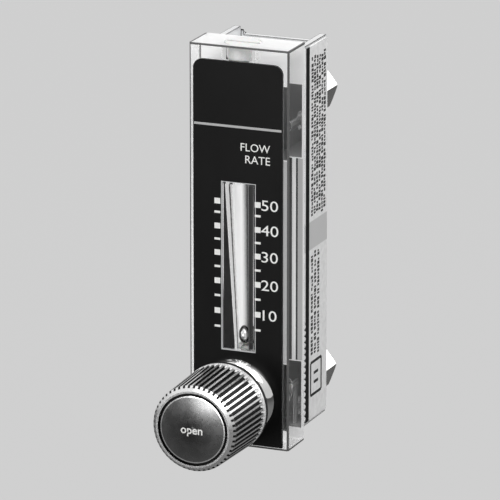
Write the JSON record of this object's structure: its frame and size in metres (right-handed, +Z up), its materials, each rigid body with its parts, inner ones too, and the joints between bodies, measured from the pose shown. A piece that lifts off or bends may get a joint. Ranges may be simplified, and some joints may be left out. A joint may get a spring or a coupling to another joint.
{
  "type": "variable-area flow meter",
  "caption": "Panel flow indicator: clear block with tapered tube and ball float, black scale plate, fluted valve knob, channel frame and hexagon port adapters at the rear.",
  "frame": {"origin": "middle of the mounting face at the back of the frame, half-way between the two port axes", "axes": "+Y out of the mounting face to the rear, so the scale and knob face -Y; +Z up, the float's way; +X to the right seen from the front"},
  "size_m": [0.0314, 0.0965, 0.121],
  "materials": {
    "clear_acrylic": "polished clear acrylic",
    "black_plate": "satin black enamel on aluminium",
    "frame_aluminium": "bright anodised",
    "knob_aluminium": "satin anodised",
    "cap_aluminium": "spun, dark anodised",
    "polished_steel": "polished stainless steel",
    "plated_brass": "nickel-plated brass",
    "black_rubber": "nitrile rubber",
    "white_plastic": "white acetal",
    "label_film": "printed polyester film"
  },
  "bodies": {
    "meter": {"meter_body": "clear_acrylic", "scale_plate": "black_plate", "rear_frame": "frame_aluminium", "frame_screws": "polished_steel", "side_label": "label_film", "inlet_adapter": "plated_brass", "outlet_adapter": "plated_brass", "inlet_o_ring": "black_rubber", "outlet_o_ring": "black_rubber", "passage_plug": "polished_steel", "float_seat": "white_plastic", "float_stop": "polished_steel", "top_plug": "white_plastic", "plug_o_ring": "black_rubber", "valve_bonnet": "polished_steel", "stem_o_ring": "black_rubber", "bonnet_o_ring": "black_rubber", "valve_seat": "white_plastic"},
    "knob_and_stem": {"knob": "knob_aluminium", "knob_cap": "cap_aluminium", "knob_set_screw": "polished_steel", "stem": "polished_steel"},
    "needle": {"needle": "polished_steel"},
    "float": {"float_ball": "polished_steel"}
  },
  "joints": [
    {"name": "knob_turn", "type": "hinge", "parent": "meter", "child": "knob_and_stem", "pos_m": [0, -0.034, -0.0363], "axis": [0, -1, 0], "range_deg": [0, 1440]},
    {"name": "needle_slide", "type": "slide", "parent": "meter", "child": "needle", "axis": [0, -1, 0], "range_m": [0, 0.0028]},
    {"name": "float_rise", "type": "slide", "parent": "meter", "child": "float", "axis": [0, 0, 1], "range_m": [0, 0.0446]}
  ],
  "couplings": [
    {"joint": "needle_slide", "follows": "knob_turn", "m_per_rad": 0.00011141}
  ]
}
